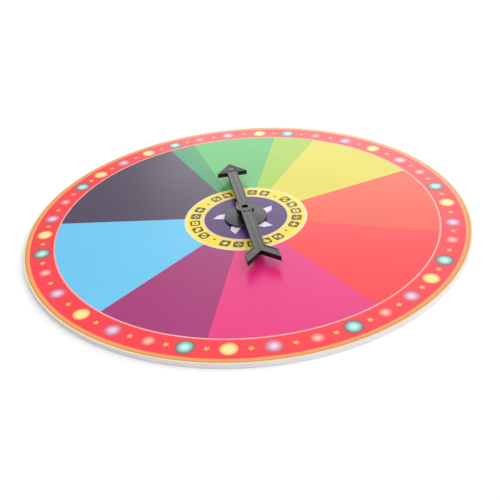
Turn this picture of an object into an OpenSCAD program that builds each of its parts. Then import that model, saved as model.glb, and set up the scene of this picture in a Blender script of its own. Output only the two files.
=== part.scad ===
// Game spinner for the tabletop: a flat round printed board with a pointer
// that turns freely on a low round base stuck to the middle of the print.
// Millimetres. +Z is up, out of the printed face.
// The origin is the centre of the board's underside.

/* [Board] */
// Diameter of the board
board_d = 400; // [250:5:600]
// Thickness of the foamed plastic core
core_t = 4; // [2:0.1:10]
// Thickness of the backing paper under the core
backing_t = 0.1; // [0.05:0.01:0.5]
// Thickness of the printed sheet on the core
print_t = 0.1; // [0.05:0.01:0.5]
// Thickness of the clear film over the print
film_t = 0.1; // [0.05:0.01:0.3]

/* [Spinner base] */
// Diameter of the base
base_d = 39; // [36:0.5:60]
// Height of the base from the tape to the top of its post
base_h = 5.55; // [4.9:0.05:12]
// Height of the base's outer edge
base_edge_h = 1.4; // [0.8:0.1:1.8]
// Radius of the rounding on the base's outer edge
base_edge_r = 0.4; // [0.2:0.1:0.5]
// Height at which the cone of the base meets its collar
cone_h = 2; // [2:0.1:3]
// Wall over the hollow underside of the base
base_wall = 1; // [0.6:0.1:1.1]
// Width of the flat ring that the tape holds
bond_w = 4; // [4:0.5:7]
// Diameter of the post that carries the pointer
post_d = 11; // [9:0.5:13]
// Width of each of the two steps of the collar
collar_step_w = 1.4; // [1:0.1:1.5]
// Height of each of the two steps of the collar
collar_step_h = 0.5; // [0.3:0.1:0.8]
// Number of ribs in the hollow underside
rib_count = 6; // [3:1:8]
// Thickness of each rib in the hollow underside
rib_t = 1; // [0.8:0.1:1.4]

/* [Tape] */
// Thickness of the double-sided tape under the base
tape_t = 0.25; // [0.1:0.05:1]
// Distance from the base's edge in to the edge of the tape
tape_inset = 1; // [0.5:0.1:2]

/* [Pivot] */
// Diameter of the axle pin
pin_d = 3; // [2:0.1:4]
// Diameter of the head of the axle pin
pin_head_d = 8; // [6:0.1:9]
// Thickness of the head of the axle pin
pin_head_t = 1; // [0.6:0.1:1.4]
// Length of the axle pin above its retainer
pin_over = 0.5; // [0.3:0.1:0.8]
// Diameter of the thrust washer
washer_d = 9; // [7:0.5:10]
// Thickness of the thrust washer
washer_t = 0.5; // [0.3:0.1:1]
// Outer diameter of the bush in the pointer
bush_d = 7; // [6.4:0.1:9]
// Thickness of the push-on retainer
retainer_t = 0.5; // [0.3:0.1:0.8]

/* [Pointer] */
// Direction of the pointer at rest, in degrees from +X
pointer_angle = 98; // [0:1:359]
// Distance from the axis to the tip of the pointer
front_l = 90; // [75:1:110]
// Distance from the axis to the ends of the tail
tail_l = 90; // [75:1:110]
// Thickness of the pointer
pointer_t = 4.5; // [3.5:0.1:6]
// Width of the pointer's shaft
shaft_w = 9.6; // [8:0.1:12]
// Width of the arrow head
head_w = 29; // [24:0.5:36]
// Length of the arrow head
head_l = 19; // [15:0.5:24]
// Width of the tail
tail_w = 28; // [24:0.5:36]
// Length of each tail vane along its outer edge
vane_l = 12.4; // [10:0.1:16]
// Diameter of the pointer's hub
hub_d = 16.4; // [15:0.1:20]
// Height of the hub below the shaft
hub_drop = 0.4; // [0.2:0.1:1.5]
// Width of the shoulder that stops the bush below the hub's open mouth
mouth_lip = 0.4; // [0.3:0.1:1]
// Width of the raised collar around the hub's open mouth
mouth_collar_w = 2.3; // [1.6:0.1:2.6]
// Depth of the open mouth in the top of the hub
mouth_h = 2.3; // [1.9:0.1:2.6]
// Height of the raised lines on top of the pointer's arms
relief_h = 0.5; // [0.2:0.1:0.6]
// Height of the raised rings on top of the hub
hub_relief_h = 0.15; // [0.1:0.05:0.2]
// Width of the raised border around the pointer
border_w = 1.1; // [0.8:0.1:1.4]
// Width of the raised centre line and of the other raised lines
line_w = 1.2; // [0.8:0.1:1.4]

/* [Clearances] */
// Radial clearance between the axle pin and the bush
run_gap = 0.05; // [0.02:0.01:0.1]
// Play of the pointer along its axle
end_float = 0.2; // [0.1:0.05:0.3]
// Radial clearance between pieces that are pushed together
push_gap = 0.02; // [0.01:0.01:0.04]
// Radial clearance between the retainer and the wall of the hub's mouth
retainer_gap = 0.3; // [0.2:0.05:0.4]

/* [Hidden] */
$fn = 96;

// Faces of a cut stand this far proud of what they cut
cut = 1;

board_r = board_d / 2;
core_z = backing_t;
print_z = core_z + core_t;
film_z = print_z + print_t;
print_top = film_z + film_t;

base_r = base_d / 2;
base_z = print_top + tape_t;
post_r = post_d / 2;
collar_r = post_r + 2 * collar_step_w;
post_top = base_z + base_h;
boss_r = pin_head_d / 2 + base_wall;

pin_r = pin_d / 2;
hub_z = post_top + washer_t + end_float / 2;
shaft_z = hub_z + hub_drop;
pointer_top = shaft_z + pointer_t;
floor_z = pointer_top - relief_h;
hub_r = hub_d / 2;
hub_h = hub_drop + pointer_t;
bush_r = bush_d / 2;
bush_h = hub_h - mouth_h;
mouth_r = bush_r - mouth_lip;
retainer_r = mouth_r - retainer_gap;
retainer_z = hub_z + bush_h + end_float / 2;
pin_top = retainer_z + retainer_t + pin_over;
washer_gap = 2 * run_gap;

head_z = front_l - head_l;
head_half_angle = atan(head_w / 2 / head_l);
notch_y = tail_l - tail_w / 2;
vane_y = tail_l - vane_l;
tail_y = vane_y - (tail_w - shaft_w) / 2;
// A 45 degree edge moved in by d shifts by d * root2 along X or Y
root2 = sqrt(2);

// Height of the base's cone at radius r, above the tape
function cone_z(r) = base_edge_h + (cone_h - base_edge_h) * (base_r - r) / (base_r - collar_r);

// Quarter circle of radius r about c, from angle a0 up by 90 degrees
function quarter(c, r, a0) = [for (i = [0:6]) c + r * [cos(a0 + 15 * i), sin(a0 + 15 * i)]];

// Corners of the arrow head's triangle, moved in by d on every side
function head_triangle(d) = let (
    tip_y = front_l - d / sin(head_half_angle),
    back_y = head_z + d,
    half_w = (tip_y - back_y) * tan(head_half_angle)
) [[0, tip_y], [half_w, back_y], [-half_w, back_y]];

// Right half of the pointer's outline, moved in by d, from tip to notch
function half_outline(d) = let (
    head = head_triangle(d),
    shaft_x = shaft_w / 2 - d,
    vane_x = tail_w / 2 - d,
    edge_in = d * (root2 - 1)
) [
    head[0],
    head[1],
    [shaft_x, head_z + d],
    [shaft_x, -tail_y - edge_in],
    [vane_x, -vane_y - edge_in],
    [vane_x, -tail_l + d * (root2 + 1)],
    [0, -notch_y + d * root2]
];

// Whole outline of the pointer, moved in by d, with +Y towards the tip
function outline(d) = let (
    right = half_outline(d),
    last = len(right) - 1
) concat(right, [for (i = [last - 1:-1:1]) [-right[i][0], right[i][1]]]);

// Flat ring between two radii, standing on z
module ring(r_out, r_in, z, h) {
    translate([0, 0, z])
        difference() {
            cylinder(r = r_out, h = h);
            translate([0, 0, -cut]) cylinder(r = r_in, h = h + 2 * cut);
        }
}

// Full disc of the board's size, standing on z
module board_layer(z, h) {
    translate([0, 0, z]) cylinder(r = board_r, h = h, $fn = 240);
}

module backing_paper() {
    color("gainsboro") board_layer(0, backing_t);
}

module board_core() {
    color("white") board_layer(core_z, core_t);
}

module print_sheet() {
    color("tomato") board_layer(print_z, print_t);
}

module gloss_film() {
    color("lightcyan", 0.3) board_layer(film_z, film_t);
}

module mounting_tape() {
    color("lightgray")
        translate([0, 0, print_top])
            cylinder(r = base_r - tape_inset, h = tape_t);
}

// Solid of revolution of the base: edge, cone, two steps and post
module base_outside() {
    edge_c = [base_r - base_edge_r, base_edge_h - base_edge_r];
    rotate_extrude()
        polygon(concat(
            [[0, 0], [base_r, 0]],
            quarter(edge_c, base_edge_r, 0),
            [
                [collar_r, cone_h],
                [collar_r, cone_h + collar_step_h],
                [collar_r - collar_step_w, cone_h + collar_step_h],
                [collar_r - collar_step_w, cone_h + 2 * collar_step_h],
                [post_r, cone_h + 2 * collar_step_h],
                [post_r, base_h],
                [0, base_h]
            ]
        ));
}

// Hollow in the base's underside, between its flat ring and its boss
module base_hollow() {
    outer_r = base_r - bond_w;
    rotate_extrude()
        polygon([
            [boss_r, -cut],
            [outer_r, -cut],
            [outer_r, cone_z(outer_r) - base_wall],
            [collar_r, cone_h - base_wall],
            [boss_r, cone_h - base_wall]
        ]);
}

// Radial ribs, tall and long enough to cross the hollow
module base_ribs() {
    for (i = [0:rib_count - 1])
        rotate([0, 0, 360 * i / rib_count])
            translate([0, -rib_t / 2, 0])
                cube([base_r, rib_t, cone_h]);
}

module spinner_base() {
    color([0.14, 0.14, 0.14])
        translate([0, 0, base_z])
            difference() {
                base_outside();
                difference() {
                    base_hollow();
                    base_ribs();
                }
                translate([0, 0, -cut]) cylinder(r = pin_r + push_gap, h = base_h + 2 * cut);
                translate([0, 0, -cut]) cylinder(r = pin_head_d / 2 + push_gap, h = pin_head_t + cut);
            }
}

module axle_pin() {
    chamfer = pin_r / 3;
    color([0.3, 0.3, 0.32])
        union() {
            translate([0, 0, base_z]) cylinder(r = pin_head_d / 2, h = pin_head_t);
            translate([0, 0, base_z]) cylinder(r = pin_r, h = pin_top - chamfer - base_z);
            translate([0, 0, pin_top - chamfer]) cylinder(r1 = pin_r, r2 = pin_r - chamfer, h = chamfer);
        }
}

module thrust_washer() {
    color("ivory") ring(washer_d / 2, pin_r + washer_gap, post_top, washer_t);
}

// Push-on retainer, gripped on the pin by three fingers
module push_on_retainer() {
    slot_w = pin_r / 3;
    grip_r = pin_r + push_gap;
    slot_l = (retainer_r - grip_r) / 2;
    color([0.2, 0.2, 0.22])
        difference() {
            ring(retainer_r, grip_r, retainer_z, retainer_t);
            for (i = [0:2])
                rotate([0, 0, 120 * i])
                    translate([0, -slot_w / 2, retainer_z - cut])
                        cube([grip_r + slot_l, slot_w, retainer_t + 2 * cut]);
        }
}

module hub_bush() {
    color([0.8, 0.65, 0.3]) ring(bush_r, pin_r + run_gap, hub_z, bush_h);
}

// Raised rim of the hub and raised collar of its mouth, in plan
module hub_lines() {
    difference() {
        circle(r = hub_r);
        circle(r = hub_r - border_w);
    }
    circle(r = mouth_r + mouth_collar_w);
}

// Raised lines along the pointer's arms, in plan
module arm_lines() {
    difference() {
        polygon(outline(0));
        polygon(outline(border_w));
    }
    // centre line from the arrow head to the notch
    translate([-line_w / 2, -notch_y]) square([line_w, notch_y + head_z + border_w]);
    // triangle and solid core inside the arrow head
    difference() {
        polygon(head_triangle(border_w + line_w));
        polygon(head_triangle(border_w + 2 * line_w));
    }
    polygon(head_triangle(border_w + 3 * line_w));
}

// All the raised lines on top of the pointer, in plan: the arms' lines stop at the hub
module pointer_lines() {
    difference() {
        arm_lines();
        circle(r = hub_r - border_w);
    }
    hub_lines();
}

module pointer() {
    color([0.16, 0.16, 0.16])
        rotate([0, 0, pointer_angle - 90])
            difference() {
                union() {
                    translate([0, 0, shaft_z])
                        linear_extrude(pointer_t - relief_h) polygon(outline(0));
                    translate([0, 0, floor_z])
                        linear_extrude(relief_h) pointer_lines();
                    translate([0, 0, hub_z])
                        cylinder(r = hub_r, h = hub_h - hub_relief_h);
                }
                translate([0, 0, hub_z - cut]) cylinder(r = bush_r + push_gap, h = bush_h + cut);
                translate([0, 0, hub_z]) cylinder(r = mouth_r, h = hub_h + cut);
            }
}

backing_paper();
board_core();
print_sheet();
gloss_film();
mounting_tape();
spinner_base();
axle_pin();
thrust_washer();
push_on_retainer();
hub_bush();
pointer();
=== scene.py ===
import math

import bpy
import numpy as np
from mathutils import Matrix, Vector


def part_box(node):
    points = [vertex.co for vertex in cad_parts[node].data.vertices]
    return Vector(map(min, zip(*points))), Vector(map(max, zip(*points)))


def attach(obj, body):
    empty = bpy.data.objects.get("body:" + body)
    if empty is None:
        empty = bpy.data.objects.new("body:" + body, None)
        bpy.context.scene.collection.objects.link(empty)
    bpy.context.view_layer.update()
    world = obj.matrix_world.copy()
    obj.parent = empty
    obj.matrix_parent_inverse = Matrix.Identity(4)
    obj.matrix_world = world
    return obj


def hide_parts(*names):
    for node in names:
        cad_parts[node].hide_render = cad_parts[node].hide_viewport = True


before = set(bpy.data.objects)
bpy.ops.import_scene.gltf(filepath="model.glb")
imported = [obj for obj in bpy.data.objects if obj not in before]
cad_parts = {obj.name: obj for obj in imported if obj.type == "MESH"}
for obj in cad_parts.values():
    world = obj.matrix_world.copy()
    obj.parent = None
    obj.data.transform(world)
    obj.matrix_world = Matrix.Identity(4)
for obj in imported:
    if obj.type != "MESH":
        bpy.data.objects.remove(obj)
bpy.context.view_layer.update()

# ---------------------------------------------------------------- sizes, from the frame
MM = 0.001
BOARD_LOW, BOARD_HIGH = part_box("board_core")
PAPER_LOW, PAPER_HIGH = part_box("print_sheet")
FILM_LOW, FILM_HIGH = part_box("gloss_film")
BACKING_LOW, BACKING_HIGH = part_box("backing_paper")
BOARD_R = BOARD_HIGH[0]

# The inks lie in the thickness of the clear film: flat areas first, small figures over them
INK_STEP = 0.02 * MM
INK_TOP = FILM_HIGH[2] - INK_STEP
FIGURE_LOW = INK_TOP - INK_STEP
FIGURE_TOP = FILM_HIGH[2]

# Radii of the printed rings, as shares of the board's radius
PURPLE_R = 0.190 * BOARD_R
RING_IN = 0.203 * BOARD_R
RING_OUT = 0.268 * BOARD_R
SECTOR_IN = 0.281 * BOARD_R
SECTOR_OUT = 0.863 * BOARD_R
BAND_IN = 0.870 * BOARD_R
BAND_OUT = 0.9725 * BOARD_R
GOLD_OUT = 0.9872 * BOARD_R
LINE_OUT = 0.9925 * BOARD_R
# The board is trimmed a hair inside the CAD model's faceted edge
TRIM_R = -FILM_LOW[0] - 0.02 * MM

# Each coloured sector: its name, the angle at which it starts, and its colour
SECTORS = [
    ("yellow", 22.5, (0.70, 0.62, 0.020)),
    ("lime", 62.5, (0.33, 0.57, 0.012)),
    ("green", 77.0, (0.078, 0.475, 0.105)),
    ("sea_green", 107.0, (0.008, 0.312, 0.10)),
    ("slate", 116.0, (0.044, 0.022, 0.068)),
    ("blue", 175.0, (0.125, 0.545, 0.85)),
    ("plum", 227.0, (0.357, 0.006, 0.154)),
    ("pink", 258.5, (0.785, 0.012, 0.197)),
    ("red", 302.5, (0.90, 0.022, 0.034)),
    ("salmon", 343.0, (0.86, 0.070, 0.022)),
]

# ---------------------------------------------------------------- meshes


def piece(name, points, faces, body, slot, material):
    """Makes a mesh object at the origin from points and faces, riding on a body."""
    mesh = bpy.data.meshes.new(name)
    mesh.from_pydata(np.asarray(points, float).tolist(), [], [list(map(int, f)) for f in faces])
    mesh.validate()
    mesh.update()
    obj = bpy.data.objects.new(name, mesh)
    bpy.context.collection.objects.link(obj)
    mesh.materials.append(material)
    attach(obj, body)
    return obj


def polar(radius, angle):
    """Points at a radius and an angle in degrees, as x and y."""
    turn = np.radians(angle)
    return np.stack([radius * np.cos(turn), radius * np.sin(turn)], axis=-1)


def swept_ring(profile, angles, closed):
    """A profile of radius and height carried round the Z axis.

    Point (i, j) is at (r_j cos a_i, r_j sin a_i, z_j), where a_i is the angle of
    step i and (r_j, z_j) is corner j of the closed profile, taken anticlockwise.
    An open sweep is closed by a flat cap at each end.
    """
    profile = np.asarray(profile, float)
    steps, corners = len(angles), len(profile)
    xy = polar(profile[None, :, 0], np.asarray(angles, float)[:, None])
    z = np.broadcast_to(profile[None, :, 1], (steps, corners))
    points = np.concatenate([xy, z[..., None]], axis=-1).reshape(-1, 3)
    index = np.arange(steps * corners).reshape(steps, corners)
    here = index if closed else index[:-1]
    ahead = np.roll(index, -1, axis=0) if closed else index[1:]
    quads = np.stack(
        [here, ahead, np.roll(ahead, -1, axis=1), np.roll(here, -1, axis=1)], axis=-1
    ).reshape(-1, 4)
    faces = list(quads)
    if not closed:
        faces += [index[0], index[-1][::-1]]
    return points, faces


def prisms(outlines, low, high):
    """Upright prisms on several outlines of equally many points each.

    Outline k gives 2n points: its n points at the low height, then the same at
    the high one. Each has an n-sided floor, an n-sided top and n side faces.
    """
    outlines = np.asarray(outlines, float)
    count, n = outlines.shape[:2]
    floor = np.concatenate([outlines, np.full((count, n, 1), low)], axis=-1)
    roof = np.concatenate([outlines, np.full((count, n, 1), high)], axis=-1)
    points = np.concatenate([floor, roof], axis=1).reshape(-1, 3)
    start = (np.arange(count) * 2 * n)[:, None]
    ring = np.arange(n)[None, :]
    after = (ring + 1) % n
    sides = np.stack([start + ring, start + after, start + n + after, start + n + ring], axis=-1)
    faces = list((start + ring[:, ::-1])) + list(start + n + ring) + list(sides.reshape(-1, 4))
    return points, faces


def rectangle(r_in, r_out, low, high):
    """Profile of a flat ring: the four corners of inner and outer radius by low and high, anticlockwise."""
    return [(r_in, low), (r_out, low), (r_out, high), (r_in, high)]


def round_outline(centre, radius, points=32):
    """A circle, anticlockwise: point i is the centre plus the radius at angle 360 i / points."""
    return np.asarray(centre)[..., None, :] + polar(radius, np.arange(points) * 360 / points)


def turned(outline, angle):
    """An outline turned about the origin by an angle in degrees."""
    c, s = math.cos(math.radians(angle)), math.sin(math.radians(angle))
    return np.asarray(outline) @ np.array([[c, s], [-s, c]])


def placed_round(outline, radius, angles):
    """Copies of an outline, each moved out by a radius along +Y and turned so that +Y points at its angle."""
    return np.array([turned(np.asarray(outline) + (0, radius), angle - 90) for angle in angles])


def give_uv(obj, name, values):
    """Writes a UV map from one pair of values for each point of the mesh."""
    mesh = obj.data
    corner = np.empty(len(mesh.loops), np.int64)
    mesh.loops.foreach_get("vertex_index", corner)
    layer = mesh.uv_layers.new(name=name)
    layer.data.foreach_set("uv", np.asarray(values, float)[corner].ravel())


# ---------------------------------------------------------------- shader pieces


def new_group(name, inputs, outputs):
    """An empty shader node group with named float or vector sockets."""
    group = bpy.data.node_groups.new(name, "ShaderNodeTree")
    for label, kind, value in inputs:
        socket = group.interface.new_socket(label, in_out="INPUT", socket_type=kind)
        if value is not None:
            socket.default_value = value
    for label, kind in outputs:
        group.interface.new_socket(label, in_out="OUTPUT", socket_type=kind)
    return group, group.nodes.new("NodeGroupInput"), group.nodes.new("NodeGroupOutput")


def noise(tree, vector, scale, detail=3.0, roughness=0.5):
    """A noise texture on a vector, with its scale in features per metre."""
    node = tree.nodes.new("ShaderNodeTexNoise")
    node.inputs["Detail"].default_value = detail
    node.inputs["Roughness"].default_value = roughness
    tree.links.new(vector, node.inputs["Vector"])
    if isinstance(scale, bpy.types.NodeSocket):
        tree.links.new(scale, node.inputs["Scale"])
    else:
        node.inputs["Scale"].default_value = scale
    return node.outputs["Fac"]


def maths(tree, operation, first, second):
    """A Math node on two sockets or numbers."""
    node = tree.nodes.new("ShaderNodeMath")
    node.operation = operation
    for value, socket in zip((first, second), node.inputs):
        if isinstance(value, bpy.types.NodeSocket):
            tree.links.new(value, socket)
        else:
            socket.default_value = value
    return node.outputs[0]


def remap(tree, value, low, high, to_low, to_high):
    """Maps a value from one range to another, and holds it there."""
    node = tree.nodes.new("ShaderNodeMapRange")
    tree.links.new(value, node.inputs["Value"])
    for label, number in zip(("From Min", "From Max", "To Min", "To Max"), (low, high, to_low, to_high)):
        node.inputs[label].default_value = number
    return node.outputs["Result"]


def blend_colours(tree, factor, first, second):
    """Mixes two colours, each a socket or an RGB triple, by a factor."""
    node = tree.nodes.new("ShaderNodeMix")
    node.data_type = "RGBA"
    tree.links.new(factor, node.inputs["Factor"])
    for value, label in ((first, "A"), (second, "B")):
        socket = next(i for i in node.inputs if i.name == label and i.type == "RGBA")
        if isinstance(value, bpy.types.NodeSocket):
            tree.links.new(value, socket)
        else:
            socket.default_value = (*value, 1)
    return next(o for o in node.outputs if o.type == "RGBA")


LAMINATE_ROUGHNESS = (0.27, 0.33)
LAMINATE_IOR = 1.52
LAMINATE_WAVE = 0.03 * MM
STIPPLE_ROUGHNESS = (0.28, 0.36)
# The part of a noise's 0 to 1 in which nearly all of its values lie
NOISE_SPAN = (0.3, 0.7)
# Upward part of a face's direction at which the painted light on up-facing faces starts and is full
TOP_LIGHT_SLOPES = (0.3, 0.95)


def laminate_group():
    """Surface of a cold laminated print: faint mottle, uneven gloss, slight waviness.

    The mottle is four parts cloud to one part grain, and the height is the
    waves with a little of the grain on them.
    """
    group, given, out = new_group(
        "laminated_print",
        [("Vector", "NodeSocketVector", None), ("Mottle", "NodeSocketFloat", 1.0)],
        [("Mottle", "NodeSocketFloat"), ("Roughness", "NodeSocketFloat"), ("Height", "NodeSocketFloat")],
    )
    vector = given.outputs["Vector"]
    cloud = noise(group, vector, 14, 4)
    grain = noise(group, vector, 1600, 2)
    wave = noise(group, vector, 45, 2)
    mottle = maths(group, "ADD", maths(group, "MULTIPLY", cloud, 0.8), maths(group, "MULTIPLY", grain, 0.2))
    group.links.new(maths(group, "MULTIPLY", mottle, given.outputs["Mottle"]), out.inputs["Mottle"])
    group.links.new(remap(group, cloud, 0.0, 1.0, *LAMINATE_ROUGHNESS), out.inputs["Roughness"])
    height = maths(group, "ADD", wave, maths(group, "MULTIPLY", grain, 0.04))
    group.links.new(height, out.inputs["Height"])
    return group


def stipple_group():
    """Moulded texture: a fine even grain, with a cloudy change in gloss."""
    group, given, out = new_group(
        "moulded_stipple",
        [("Vector", "NodeSocketVector", None), ("Grain", "NodeSocketFloat", 2200.0)],
        [("Tone", "NodeSocketFloat"), ("Roughness", "NodeSocketFloat"), ("Height", "NodeSocketFloat")],
    )
    vector = given.outputs["Vector"]
    fine = noise(group, vector, given.outputs["Grain"], 3, 0.6)
    cloud = noise(group, vector, 90, 3)
    group.links.new(cloud, out.inputs["Tone"])
    group.links.new(remap(group, cloud, 0.0, 1.0, *STIPPLE_ROUGHNESS), out.inputs["Roughness"])
    group.links.new(fine, out.inputs["Height"])
    return group


LAMINATE = laminate_group()
STIPPLE = stipple_group()


def new_material(name):
    """A material with nodes, its Principled BSDF, and its Object coordinates."""
    material = bpy.data.materials.new(name)
    material.use_nodes = True
    tree = material.node_tree
    shader = tree.nodes["Principled BSDF"]
    place = tree.nodes.new("ShaderNodeTexCoord").outputs["Object"]
    return material, tree, shader, place


def use_group(tree, group, vector):
    """Places a node group in a material and feeds it a vector."""
    node = tree.nodes.new("ShaderNodeGroup")
    node.node_tree = group
    tree.links.new(vector, node.inputs["Vector"])
    return node


def raise_bumps(tree, shader, height, distance):
    """Feeds a height to the shader's normal through a Bump node; distance is in metres."""
    bump = tree.nodes.new("ShaderNodeBump")
    bump.inputs["Distance"].default_value = distance
    tree.links.new(height, bump.inputs["Height"])
    tree.links.new(bump.outputs["Normal"], shader.inputs["Normal"])


def darker(colour, by):
    """A colour multiplied by a number below one."""
    return tuple(by * c for c in colour)


def finish_print(tree, shader, place, colour):
    """Gives a shader the laminated print's surface over a colour socket or triple."""
    surface = use_group(tree, LAMINATE, place)
    shade = remap(tree, surface.outputs["Mottle"], *NOISE_SPAN, 0.0, 0.08)
    tree.links.new(blend_colours(tree, shade, colour, (0, 0, 0)), shader.inputs["Base Color"])
    tree.links.new(surface.outputs["Roughness"], shader.inputs["Roughness"])
    raise_bumps(tree, shader, surface.outputs["Height"], LAMINATE_WAVE)
    shader.inputs["IOR"].default_value = LAMINATE_IOR


def ink(name, colour):
    """A flat printed colour under the clear film."""
    material, tree, shader, place = new_material(name)
    finish_print(tree, shader, place, colour)
    return material


def bulb_ink(name, stops):
    """A printed light bulb: rings of colour by the distance from its centre."""
    material, tree, shader, place = new_material(name)
    uv = tree.nodes.new("ShaderNodeUVMap")
    uv.uv_map = BULB_UV
    distance = tree.nodes.new("ShaderNodeVectorMath")
    distance.operation = "DISTANCE"
    distance.inputs[1].default_value = (0.5, 0.5, 0)
    tree.links.new(uv.outputs["UV"], distance.inputs[0])
    ramp = tree.nodes.new("ShaderNodeValToRGB")
    ramp.color_ramp.interpolation = "EASE"
    tree.links.new(maths(tree, "MULTIPLY", distance.outputs["Value"], 2), ramp.inputs["Fac"])
    points = ramp.color_ramp.elements
    while len(points) < len(stops):
        points.new(1)
    for point, (position, colour) in zip(points, stops):
        point.position = position
        point.color = (*colour, 1)
    finish_print(tree, shader, place, ramp.outputs["Color"])
    return material


def black_plastic(name, colour, painted_top_colour, grain, depth, index):
    """Black moulded plastic with a fine stipple; faces that look up are painted paler, as painted light from
    above, mottled by the stipple's cloud.

    Grain is the stipple's features per metre, depth its height, and index the
    plastic's index of refraction.
    """
    material, tree, shader, place = new_material(name)
    shader.inputs["IOR"].default_value = index
    surface = use_group(tree, STIPPLE, place)
    surface.inputs["Grain"].default_value = grain
    facing = tree.nodes.new("ShaderNodeSeparateXYZ")
    tree.links.new(tree.nodes.new("ShaderNodeNewGeometry").outputs["Normal"], facing.inputs["Vector"])
    # Painted light: the more a face looks up, the more it is mixed towards a paler colour standing in for
    # light from above
    upward = remap(tree, facing.outputs["Z"], *TOP_LIGHT_SLOPES, 0.0, 1.0)
    tone = remap(tree, surface.outputs["Tone"], *NOISE_SPAN, 0.75, 1.0)
    painted_top_light = maths(tree, "MULTIPLY", upward, tone)
    tree.links.new(blend_colours(tree, painted_top_light, colour, painted_top_colour), shader.inputs["Base Color"])
    tree.links.new(surface.outputs["Roughness"], shader.inputs["Roughness"])
    raise_bumps(tree, shader, surface.outputs["Height"], depth)
    return material


# Colours of the pale materials, and how many foam cells and lathe rings there are to a metre
FOAM_WHITE = (0.82, 0.79, 0.80)
FOAM_SHADE = (0.62, 0.60, 0.63)
TAPE_SHADE = (0.52, 0.52, 0.50)
TAPE_WHITE = (0.75, 0.75, 0.72)
NYLON_WARM = (0.78, 0.75, 0.66)
NYLON_DULL = (0.70, 0.67, 0.58)
FOAM_CELLS = 1900
LATHE_RINGS = 1500


def cut_foam(name):
    """Knife-cut edge of foamed board: fine closed cells, slightly grey where they open."""
    material, tree, shader, place = new_material(name)
    cells = tree.nodes.new("ShaderNodeTexVoronoi")
    cells.inputs["Scale"].default_value = FOAM_CELLS
    tree.links.new(place, cells.inputs["Vector"])
    cloud = noise(tree, place, 120, 3)
    open_cells = remap(tree, cells.outputs["Distance"], 0.0, 0.7, 0.0, 0.5)
    shade = maths(tree, "MULTIPLY", maths(tree, "ADD", open_cells, cloud), 0.35)
    tree.links.new(blend_colours(tree, shade, FOAM_WHITE, FOAM_SHADE), shader.inputs["Base Color"])
    shader.inputs["Roughness"].default_value = 0.8
    raise_bumps(tree, shader, cells.outputs["Distance"], 0.08 * MM)
    return material


def plain_paper(name, colour):
    """Uncoated paper: soft fibre clouds and a fine tooth."""
    material, tree, shader, place = new_material(name)
    fibre = noise(tree, place, 700, 5, 0.7)
    cloud = noise(tree, place, 30, 3)
    shade = remap(tree, maths(tree, "ADD", fibre, cloud), 0.7, 1.3, 0.0, 1.0)
    tree.links.new(blend_colours(tree, shade, colour, darker(colour, 0.93)), shader.inputs["Base Color"])
    tree.links.new(remap(tree, cloud, *NOISE_SPAN, 0.75, 0.9), shader.inputs["Roughness"])
    raise_bumps(tree, shader, fibre, 0.02 * MM)
    return material


def tape_foam(name):
    """Edge of double-sided tape: pale, dull, with fine cells."""
    material, tree, shader, place = new_material(name)
    cells = noise(tree, place, 2600, 4, 0.6)
    tree.links.new(blend_colours(tree, cells, TAPE_SHADE, TAPE_WHITE), shader.inputs["Base Color"])
    shader.inputs["Roughness"].default_value = 0.7
    raise_bumps(tree, shader, cells, 0.03 * MM)
    return material


def turned_metal(name, colour, roughness):
    """Metal turned on a lathe: fine rings about the Z axis in its gloss and height."""
    material, tree, shader, place = new_material(name)
    rings = tree.nodes.new("ShaderNodeTexWave")
    rings.wave_type = "RINGS"
    rings.rings_direction = "Z"
    rings.inputs["Scale"].default_value = LATHE_RINGS
    rings.inputs["Distortion"].default_value = 1.5
    rings.inputs["Detail"].default_value = 2
    tree.links.new(place, rings.inputs["Vector"])
    spots = noise(tree, place, 900, 3)
    tree.links.new(blend_colours(tree, spots, colour, darker(colour, 0.8)), shader.inputs["Base Color"])
    gloss = remap(tree, rings.outputs["Fac"], 0, 1, roughness, roughness + 0.15)
    tree.links.new(gloss, shader.inputs["Roughness"])
    shader.inputs["Metallic"].default_value = 1.0
    raise_bumps(tree, shader, rings.outputs["Fac"], 0.004 * MM)
    return material


def white_nylon(name):
    """Natural nylon: warm white, slightly milky."""
    material, tree, shader, place = new_material(name)
    cloud = noise(tree, place, 400, 3)
    tree.links.new(blend_colours(tree, cloud, NYLON_WARM, NYLON_DULL), shader.inputs["Base Color"])
    tree.links.new(remap(tree, cloud, *NOISE_SPAN, 0.35, 0.5), shader.inputs["Roughness"])
    raise_bumps(tree, shader, cloud, 0.01 * MM)
    shader.inputs["Subsurface Weight"].default_value = 0.1
    shader.inputs["Subsurface Scale"].default_value = 1 * MM
    return material


# ---------------------------------------------------------------- the printed face
BULB_UV = "bulb_place"
BULB_RING_R = 0.920 * BOARD_R
RED_INK = (0.92, 0.020, 0.042)
GOLD_INK = (0.93, 0.32, 0.085)
OCHRE_INK = (0.50, 0.25, 0.06)
CREAM_INK = (0.84, 0.68, 0.42)
BUTTER_INK = (0.82, 0.72, 0.34)
STRAW_INK = (0.81, 0.63, 0.24)
BLUSH_INK = (0.88, 0.40, 0.34)
YELLOW_INK = (0.91, 0.71, 0.005)
PURPLE_INK = (0.056, 0.005, 0.140)
DARK_INK = (0.075, 0.042, 0.002)
STAR_INK = (0.96, 0.50, 0.10)
WHITE_INK = (0.78, 0.70, 0.82)

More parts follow.
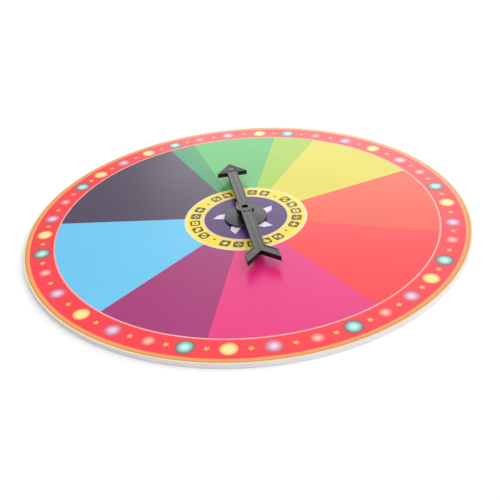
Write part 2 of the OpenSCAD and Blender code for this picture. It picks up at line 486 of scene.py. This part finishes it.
# Each kind of bulb: its radius, the angles at which it stands in the red band,
# in whole degrees, and its colours from centre to edge
BULBS = {
    "bulbs_yellow": (
        7.2 * MM,
        [-1, 41, 83, 123, 143, 181, 224, 264, 320],
        [
            (0.0, (0.89, 0.81, 0.48)),
            (0.28, (0.88, 0.81, 0.38)),
            (0.52, (0.95, 0.77, 0.26)),
            (0.73, (0.97, 0.62, 0.18)),
            (0.87, (0.94, 0.36, 0.11)),
            (1.0, (0.88, 0.10, 0.05)),
        ],
    ),
    "bulbs_teal": (
        8.2 * MM,
        [9, 73, 113, 152, 191, 254, 293, 329],
        [
            (0.0, (0.68, 0.85, 0.95)),
            (0.26, (0.50, 0.82, 0.86)),
            (0.50, (0.26, 0.62, 0.54)),
            (0.66, (0.20, 0.42, 0.34)),
            (0.78, (0.20, 0.17, 0.15)),
            (0.90, (0.42, 0.06, 0.06)),
            (1.0, (0.80, 0.025, 0.045)),
        ],
    ),
    "bulbs_lilac": (
        8.0 * MM,
        [29, 52, 94, 133, 172, 212, 235, 274, 311, 348],
        [
            (0.0, (0.90, 0.66, 0.80)),
            (0.27, (0.79, 0.52, 0.67)),
            (0.54, (0.70, 0.28, 0.40)),
            (0.74, (0.66, 0.14, 0.20)),
            (0.90, (0.75, 0.045, 0.09)),
            (1.0, RED_INK),
        ],
    ),
    "bulbs_cream": (
        5.8 * MM,
        [19, 63, 104, 162, 201, 245, 284, 302, 339],
        [
            (0.0, (0.96, 0.57, 0.44)),
            (0.25, (0.96, 0.48, 0.35)),
            (0.6, (0.94, 0.25, 0.19)),
            (0.85, (0.90, 0.085, 0.075)),
            (1.0, RED_INK),
        ],
    ),
}
BULB_SIDES = 40

# The stars' outer radius, and their inner corners as a share of it
STAR_POINTS = 5
STAR_R = 3.0 * MM
STAR_WAIST = 0.42


def degrees_between(start, end, pitch=1.5):
    """Evenly spaced angles from start to end, no further apart than pitch."""
    return np.linspace(start, end, int(math.ceil((end - start) / pitch)) + 1)


# Angles of the steps of everything that goes right round
FULL_TURN = np.arange(0, 360, 1.25)


def ink_ring(name, r_in, r_out, colour):
    """A printed ring: its rectangular profile carried right round the board."""
    points, faces = swept_ring(rectangle(r_in, r_out, FILM_LOW[2], INK_TOP), FULL_TURN, True)
    return piece(name, points, faces, "board", "film", ink(name, colour))


def figures(name, outlines, material):
    """Small printed figures, all in one piece: a thin prism on each outline."""
    points, faces = prisms(outlines, FIGURE_LOW, FIGURE_TOP)
    return piece(name, points, faces, "board", "film", material)


def print_sectors():
    """The coloured sectors between the yellow ring and the red band.

    Each is one rectangular profile carried from its own start to the next one's.
    """
    profile = rectangle(SECTOR_IN, SECTOR_OUT, FILM_LOW[2], INK_TOP)
    starts = [start for _, start, _ in SECTORS]
    ends = starts[1:] + [starts[0] + 360]
    pieces = []
    for (name, start, colour), end in zip(SECTORS, ends):
        points, faces = swept_ring(profile, degrees_between(start, end), False)
        name = "sector_" + name
        pieces.append(piece(name, points, faces, "board", "film", ink(name, colour)))
    return pieces


def print_rings():
    """The flat rings and the purple middle."""
    middle = prisms([polar(PURPLE_R, FULL_TURN)], FILM_LOW[2], INK_TOP)
    return [
        piece("centre_purple", *middle, "board", "film", ink("centre_purple", PURPLE_INK)),
        ink_ring("centre_line", PURPLE_R, RING_IN, STRAW_INK),
        ink_ring("ring_yellow", RING_IN, RING_OUT, YELLOW_INK),
        ink_ring("ring_line", RING_OUT, SECTOR_IN, BUTTER_INK),
        ink_ring("band_inner_line", SECTOR_OUT, BAND_IN, BLUSH_INK),
        ink_ring("band_red", BAND_IN, BAND_OUT, RED_INK),
        ink_ring("band_gold", BAND_OUT, GOLD_OUT, GOLD_INK),
        ink_ring("band_ochre_line", GOLD_OUT, LINE_OUT, OCHRE_INK),
        ink_ring("band_cream_line", LINE_OUT, TRIM_R, CREAM_INK),
    ]


def print_bulbs():
    """Light bulbs round the red band, one piece for each kind.

    Each bulb's own UV map puts its centre at (0.5, 0.5) and its rim on the
    circle of radius 0.5 about it, from which its ink reads the distance.
    """
    rim = 0.5 + 0.5 * polar(1.0, np.arange(BULB_SIDES) * 360 / BULB_SIDES)
    for name, (radius, angles, stops) in BULBS.items():
        outlines = round_outline(polar(BULB_RING_R, angles), radius, BULB_SIDES)
        obj = figures(name, outlines, bulb_ink(name, stops))
        give_uv(obj, BULB_UV, np.tile(rim, (2 * len(angles), 1)))


def print_stars():
    """Stars halfway between neighbouring bulbs, each with a point outwards.

    A star's corners are evenly spaced in angle, and by turns on the outer and
    on the inner radius.
    """
    corner = np.arange(2 * STAR_POINTS)
    star = polar(np.where(corner % 2 == 0, STAR_R, STAR_R * STAR_WAIST), 90 + 180 / STAR_POINTS * corner)
    places = np.sort(np.concatenate([angles for _, angles, _ in BULBS.values()]))
    halfway = (places + np.append(places[1:], places[0] + 360)) / 2
    return figures("stars", placed_round(star, BULB_RING_R, halfway), ink("stars", STAR_INK))


# The ring's ornaments stand every 15 degrees. The row gives them in order, and is then
# repeated: a digit is a die's face with that many pips, and a full stop is a single dot
ORNAMENT_PITCH = 15
ORNAMENT_PHASE = 5
ORNAMENT_ROW = "123.45123.45"
DICE_R = (RING_IN + RING_OUT) / 2 - 0.5 * MM
DOT_R = DICE_R - 1.5 * MM
DIE_SIZE = 9.2 * MM
DIE_LINE = 1.8 * MM
DIE_CORNER_R = 1.8 * MM
DIE_INNER_CORNER_R = 0.8 * MM
PIP_R = 1.2 * MM
PIP_SPREAD = 1.9 * MM
PIP_SIDES = 16
# Where the pips stand, in steps of the spread from the middle of the face
PIPS = {
    "1": [(0, 0)],
    "2": [(-1, -1), (1, 1)],
    "3": [(-1, -1), (0, 0), (1, 1)],
    "4": [(-1, -1), (-1, 1), (1, -1), (1, 1)],
    "5": [(-1, -1), (-1, 1), (0, 0), (1, -1), (1, 1)],
}


def rounded_square(size, radius, points=6):
    """Outline of a square with round corners, anticlockwise: a quarter circle about each corner's centre."""
    offset = size / 2 - radius
    quarter = np.linspace(0, 90, points)
    corners = [polar(offset * math.sqrt(2), 45 + 90 * k) + polar(radius, quarter + 90 * k) for k in range(4)]
    return np.concatenate(corners)


def frame_prism(outer, inner, low, high):
    """A flat frame between two outlines of n points each.

    Four loops follow each other round its section: outer low, outer high, inner
    high and inner low. Point i of each is joined to points i of the loops
    before and after it, and to its own neighbours, by four-sided faces.
    """
    n = len(outer)
    loops = [(outer, low), (outer, high), (inner, high), (inner, low)]
    points = np.concatenate([np.column_stack([line, np.full(n, z)]) for line, z in loops])
    index = np.arange(4 * n).reshape(4, n)
    ahead = np.roll(index, -1, axis=1)
    up, up_ahead = np.roll(index, -1, axis=0), np.roll(ahead, -1, axis=0)
    return points, np.stack([index, ahead, up_ahead, up], axis=-1).reshape(-1, 4)


def print_dice():
    """Dice faces and dots round the yellow ring: the frames are one piece, the pips and dots another."""
    material = ink("ring_dice", DARK_INK)
    outer = rounded_square(DIE_SIZE, DIE_CORNER_R)
    inner = rounded_square(DIE_SIZE - 2 * DIE_LINE, DIE_INNER_CORNER_R)
    points, faces, spots = [], [], []
    for k in range(360 // ORNAMENT_PITCH):
        mark = ORNAMENT_ROW[k % len(ORNAMENT_ROW)]
        angle = ORNAMENT_PHASE + ORNAMENT_PITCH * k
        if mark == ".":
            spots += list(placed_round(round_outline((0, 0), PIP_R, PIP_SIDES), DOT_R, [angle]))
            continue
        edges = placed_round(outer, DICE_R, [angle])[0], placed_round(inner, DICE_R, [angle])[0]
        frame_points, frame_faces = frame_prism(*edges, FIGURE_LOW, FIGURE_TOP)
        faces.append(frame_faces + sum(len(p) for p in points))
        points.append(frame_points)
        for x, y in PIPS[mark]:
            pip = round_outline((x * PIP_SPREAD, y * PIP_SPREAD), PIP_R, PIP_SIDES)
            spots += list(placed_round(pip, DICE_R, [angle]))
    piece("ring_dice", np.concatenate(points), np.concatenate(faces), "board", "film", material)
    return figures("ring_pips", spots, material)


# A blade's four corners, root, shoulder, tip and root: their radii and their angles
BLADES = 5
BLADE_RADII = np.array([16.0, 25.8, 30.0, 16.0]) * MM
BLADE_ANGLES = np.array([66, 84, 98, 106])
BLADE_PHASE = 8


def print_pinwheel():
    """White pinwheel in the purple middle, its roots under the spinner base."""
    blade = polar(BLADE_RADII, BLADE_ANGLES)
    blades = np.array([turned(blade, 360 / BLADES * k + BLADE_PHASE) for k in range(BLADES)])
    return figures("centre_pinwheel", blades, ink("centre_pinwheel", WHITE_INK))


# ---------------------------------------------------------------- the board under the print
CORE_CORNER_R = 0.15 * MM
PAPER_CORNER_R = 0.01 * MM
# How far the knife wandered, and the waves that it made: how many go round, and where each starts
CORE_WANDER = 0.08 * MM
CORE_WAVES = [(7, 1.0), (16, 2.3), (31, 0.7)]


def board_slab(name, slot, material, low, high, replaced, corner_r, wander=0.0):
    """A round slab whose knife-cut edge has small rounded corners and wanders slightly.

    The edge's profile is two quarter circles of the corner radius with a
    straight wall between. Its radius is the trimmed board's less the wander
    times one plus the mean of the sines, so it never passes the board's own.
    """
    middle_r = 0.5 * TRIM_R
    arc = np.radians(np.linspace(-90, 0, 4))
    out, up = TRIM_R - corner_r + corner_r * np.cos(arc), corner_r + corner_r * np.sin(arc)
    profile = [(middle_r, low), *zip(out, low + up), *zip(out[::-1], high - up[::-1]), (middle_r, high)]
    turn = np.radians(FULL_TURN)
    wobble = sum(np.sin(count * turn + start) for count, start in CORE_WAVES) / len(CORE_WAVES)
    points, faces = swept_ring(profile, FULL_TURN, True)
    corners = len(profile)
    points = points.reshape(len(FULL_TURN), corners, 3)
    points[:, 1:-1, :2] *= (1 - wander * (1 + wobble) / BOARD_R)[:, None, None]
    # A floor and a roof close the middle, in place of the ring's inner wall
    index = np.arange(points.shape[0] * corners).reshape(-1, corners)
    faces = [face for face in faces if face[0] % corners != corners - 1]
    faces += [index[::-1, 0], index[:, -1]]
    obj = piece(name, points.reshape(-1, 3), faces, "board", slot, material)
    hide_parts(replaced)
    return obj


BASE_EDGE_R = 0.12 * MM
POINTER_EDGE_R = 0.07 * MM
# Points closer than the gap are one point, a bend below the flat angle isn't an edge,
# and an edge above the sharp angle is rounded
WELD_GAP = 0.001 * MM
FLAT_ANGLE = math.radians(0.5)
SHARP_ANGLE = math.radians(40)


def moulded_copy(node, name, body, material, edge_r):
    """The CAD piece itself, with its sharp edges rounded a little, as a mould leaves them.

    Its loose triangles are merged, its flat faces are made whole, and each
    edge sharper than the sharp angle is rounded.
    """
    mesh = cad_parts[node].data.copy()
    mesh.name = name
    obj = bpy.data.objects.new(name, mesh)
    bpy.context.collection.objects.link(obj)
    merge = obj.modifiers.new("merge", "WELD")
    merge.merge_threshold = WELD_GAP
    flat = obj.modifiers.new("flat", "DECIMATE")
    flat.decimate_type = "DISSOLVE"
    flat.angle_limit = FLAT_ANGLE
    bevel = obj.modifiers.new("edges", "BEVEL")
    bevel.width = edge_r
    bevel.segments = 3
    bevel.limit_method = "ANGLE"
    bevel.angle_limit = SHARP_ANGLE
    bevel.harden_normals = False
    mesh.polygons.foreach_set("use_smooth", np.full(len(mesh.polygons), True))
    normals = obj.modifiers.new("normals", "WEIGHTED_NORMAL")
    normals.keep_sharp = False
    normals.weight = 80
    mesh.materials.clear()
    mesh.materials.append(material)
    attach(obj, body)
    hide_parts(node)
    return obj


def recolour(node, material):
    """Gives a CAD node its finish."""
    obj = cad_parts[node]
    if not obj.material_slots:
        obj.data.materials.append(material)
    for holder in obj.material_slots:
        holder.material = material


# ---------------------------------------------------------------- light, floor and camera
CAMERA_ELEVATION = 32.85
CAMERA_ROLL = -4.66
CAMERA_DISTANCE = 3.401 * BOARD_R
CAMERA_LENS, CAMERA_SENSOR = 53.46, 36
CAMERA_NEAR, CAMERA_FAR = 0.01, 100
# How far the middle of the print stands from the view's own axis, to the right and up
AIM_RIGHT, AIM_UP = -0.01933 * BOARD_R, 0.1516 * BOARD_R


def make_camera():
    """Camera on the -Y side, turned a little about its own axis."""
    rise, roll = math.radians(CAMERA_ELEVATION), math.radians(CAMERA_ROLL)
    back = np.array([0, -math.cos(rise), math.sin(rise)])
    level = np.array([1.0, 0, 0])
    upright = np.cross(back, level)
    right = math.cos(roll) * level + math.sin(roll) * upright
    up = math.cos(roll) * upright - math.sin(roll) * level
    middle = np.array([0, 0, FILM_HIGH[2]])
    place = middle - AIM_RIGHT * right - AIM_UP * up + CAMERA_DISTANCE * back
    data = bpy.data.cameras.new("camera")
    data.lens = CAMERA_LENS
    data.sensor_width = CAMERA_SENSOR
    data.clip_start, data.clip_end = CAMERA_NEAR, CAMERA_FAR
    camera = bpy.data.objects.new("camera", data)
    bpy.context.collection.objects.link(camera)
    matrix = np.eye(4)
    matrix[:3, 0], matrix[:3, 1], matrix[:3, 2], matrix[:3, 3] = right, up, back, place
    camera.matrix_world = Matrix(matrix.tolist())
    bpy.context.scene.camera = camera


FLOOR_REACH = 6.0
FLOOR_DROP = 0.1 * MM
FLOOR_WHITE = (0.96, 0.96, 0.96, 1)


def make_floor():
    """A plain pale table top, a hair below the board."""
    corners = [(-1, -1), (1, -1), (1, 1), (-1, 1)]
    points = [(x * FLOOR_REACH, y * FLOOR_REACH, -FLOOR_DROP) for x, y in corners]
    mesh = bpy.data.meshes.new("floor")
    mesh.from_pydata(points, [], [(0, 1, 2, 3)])
    floor = bpy.data.objects.new("floor", mesh)
    bpy.context.collection.objects.link(floor)
    material, _, shader, _ = new_material("floor")
    shader.inputs["Base Color"].default_value = FLOOR_WHITE
    shader.inputs["Roughness"].default_value = 0.9
    shader.inputs["Specular IOR Level"].default_value = 0.0
    mesh.materials.append(material)


# Brightness of the sky at its darkest and brightest, the direction in which it is brightest,
# and how nearly a direction points there where the change starts and ends
SKY_DARK, SKY_BRIGHT = 0.0, 1.60
SKY_TOWARDS = (0.66, 0.0, 0.751)
SKY_SPAN = (-0.45, 0.95)
# Soft box behind the board: its bearing from +Y towards +X, height angle, distance, size and power
BOX_BEARING, BOX_RISE, BOX_DISTANCE = 9, 22, 1.6
BOX_SIZE = (1.0, 0.5)
BOX_POWER = 2.7


def make_light():
    """Soft studio light: a white sky, brightest above and to the right, and a soft box behind."""
    world = bpy.data.worlds.new("studio")
    bpy.context.scene.world = world
    world.use_nodes = True
    tree = world.node_tree
    background = tree.nodes["Background"]
    direction = tree.nodes.new("ShaderNodeTexCoord").outputs["Generated"]
    towards = tree.nodes.new("ShaderNodeVectorMath")
    towards.operation = "DOT_PRODUCT"
    towards.inputs[1].default_value = SKY_TOWARDS
    tree.links.new(direction, towards.inputs[0])
    level = remap(tree, towards.outputs["Value"], *SKY_SPAN, SKY_DARK, SKY_BRIGHT)
    tree.links.new(level, background.inputs["Strength"])
    background.inputs["Color"].default_value = (1, 1, 1, 1)

    bearing, rise = math.radians(BOX_BEARING), math.radians(BOX_RISE)
    away = np.array([math.sin(bearing) * math.cos(rise), math.cos(bearing) * math.cos(rise), math.sin(rise)])
    data = bpy.data.lights.new("soft_box", "AREA")
    data.shape = "RECTANGLE"
    data.size, data.size_y = BOX_SIZE
    data.energy = BOX_POWER
    box = bpy.data.objects.new("soft_box", data)
    bpy.context.collection.objects.link(box)
    box.location = BOX_DISTANCE * away
    box.rotation_euler = (math.pi / 2 - rise, 0, math.pi - bearing)
    box.visible_camera = False


# ---------------------------------------------------------------- the whole
BLACK = (0.004, 0.004, 0.004)
# Paler colours painted on the base's and the pointer's up-facing faces, as painted light from above
BASE_PAINTED_TOP_LIGHT = (0.013, 0.013, 0.011)
POINTER_PAINTED_TOP_LIGHT = (0.080, 0.080, 0.073)
FACE_PAPER = (0.90, 0.87, 0.80)
BACK_PAPER = (0.78, 0.78, 0.77)
BLACK_OXIDE = (0.035, 0.035, 0.038)
BLUED_SPRING = (0.025, 0.025, 0.028)
BRASS = (0.80, 0.56, 0.22)


def build_board():
    """The foam core and the papers on its two sides."""
    foam = cut_foam("cut_foam")
    face, back = plain_paper("face_paper", FACE_PAPER), plain_paper("back_paper", BACK_PAPER)
    low, high = BOARD_LOW[2], BOARD_HIGH[2]
    board_slab("foam_board", "foam", foam, low, high, "board_core", CORE_CORNER_R, CORE_WANDER)
    low, high = PAPER_LOW[2], PAPER_HIGH[2]
    board_slab("face_paper", "print", face, low, high, "print_sheet", PAPER_CORNER_R)
    low, high = BACKING_LOW[2], BACKING_HIGH[2]
    board_slab("back_paper", "backing", back, low, high, "backing_paper", PAPER_CORNER_R)


def print_face():
    """All the printed pieces. Together they stand for the clear film."""
    sectors = print_sectors()
    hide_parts("gloss_film")
    print_rings()
    print_bulbs()
    print_stars()
    print_dice()
    print_pinwheel()


def build_spinner():
    """The base and the pointer with rounded edges, and the finishes of the pivot's small parts."""
    base = black_plastic("black_base", BLACK, BASE_PAINTED_TOP_LIGHT, 1800, 0.02 * MM, 1.58)
    pointer = black_plastic("black_pointer", BLACK, POINTER_PAINTED_TOP_LIGHT, 2200, 0.03 * MM, 1.5)
    moulded_copy("spinner_base", "base_moulding", "board", base, BASE_EDGE_R)
    moulded_copy("pointer", "pointer_moulding", "pointer", pointer, POINTER_EDGE_R)
    recolour("mounting_tape", tape_foam("tape"))
    recolour("axle_pin", turned_metal("black_oxide_pin", BLACK_OXIDE, 0.4))
    recolour("push_on_retainer", turned_metal("black_oxide_spring", BLUED_SPRING, 0.35))
    recolour("hub_bush", turned_metal("turned_brass", BRASS, 0.25))
    recolour("thrust_washer", white_nylon("nylon"))


bpy.context.scene.view_settings.view_transform = "Standard"
make_camera()
make_floor()
make_light()
build_board()
print_face()
build_spinner()
